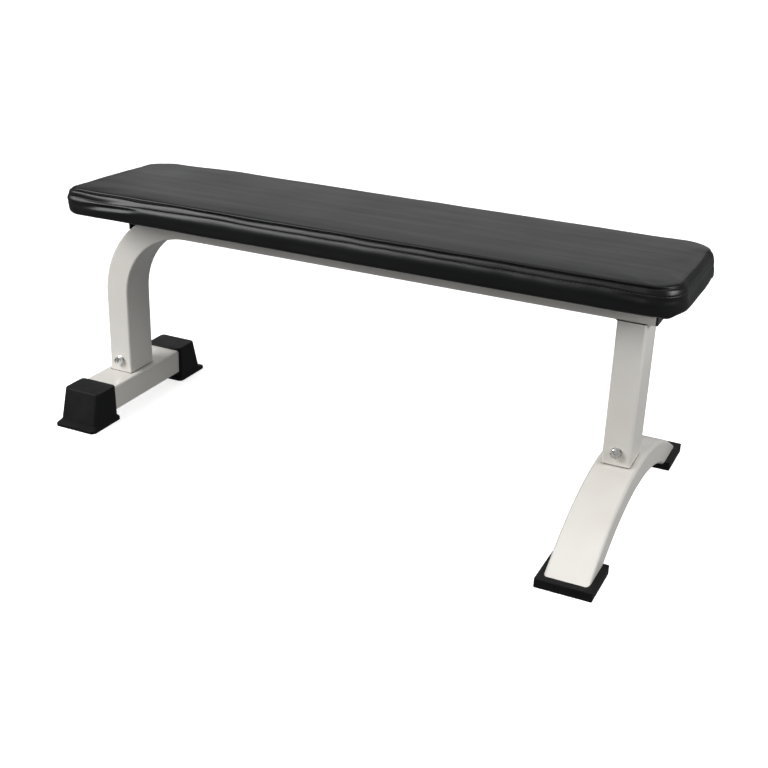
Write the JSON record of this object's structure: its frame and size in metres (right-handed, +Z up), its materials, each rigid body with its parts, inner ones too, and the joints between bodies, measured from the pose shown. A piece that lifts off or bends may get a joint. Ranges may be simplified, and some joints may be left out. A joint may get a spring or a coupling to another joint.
{
  "type": "flat weight bench",
  "caption": "Flat weight bench: long padded top on a bent steel tube that forms the rear leg, with an upright on an arched front foot and a straight rear base.",
  "frame": {"origin": "on the floor, under the middle of the whole bench's box", "axes": "+X along the bench from the bent rear leg to the arched front foot, +Y across it, +Z up"},
  "size_m": [1.156, 0.5934, 0.466],
  "materials": {
    "frame_enamel": "gloss off-white powder coat",
    "plated_steel": "bright zinc plate",
    "boot_rubber": "moulded, soft sheen",
    "foot_rubber": "moulded, matt",
    "plug_plastic": "moulded black",
    "bracket_black": "satin black powder coat",
    "board_wood": "plywood",
    "foam": "open-cell foam",
    "cover_vinyl": "black leatherette, satin grain",
    "dust_cloth": "black non-woven"
  },
  "bodies": {
    "root": {"main_frame_tube": "frame_enamel", "front_upright": "frame_enamel", "rear_base_tube": "frame_enamel", "front_foot_tube": "frame_enamel", "rear_leg_socket": "frame_enamel", "front_upright_socket": "frame_enamel", "rear_leg_bolt": "plated_steel", "rear_leg_washers": "plated_steel", "rear_leg_nut": "plated_steel", "front_upright_bolt": "plated_steel", "front_upright_washers": "plated_steel", "front_upright_nut": "plated_steel", "rear_boot_left": "boot_rubber", "rear_boot_right": "boot_rubber", "front_foot_pad_left": "foot_rubber", "front_foot_pad_right": "foot_rubber", "rail_end_plug": "plug_plastic", "rear_pad_bracket": "bracket_black", "bracket_pad_bolts": "plated_steel", "rail_pad_bolts": "plated_steel", "pad_bolt_washers": "plated_steel", "pad_tee_nuts": "plated_steel", "pad_board": "board_wood", "pad_foam": "foam", "pad_cover": "cover_vinyl", "pad_dust_cloth": "dust_cloth"}
  },
  "joints": []
}
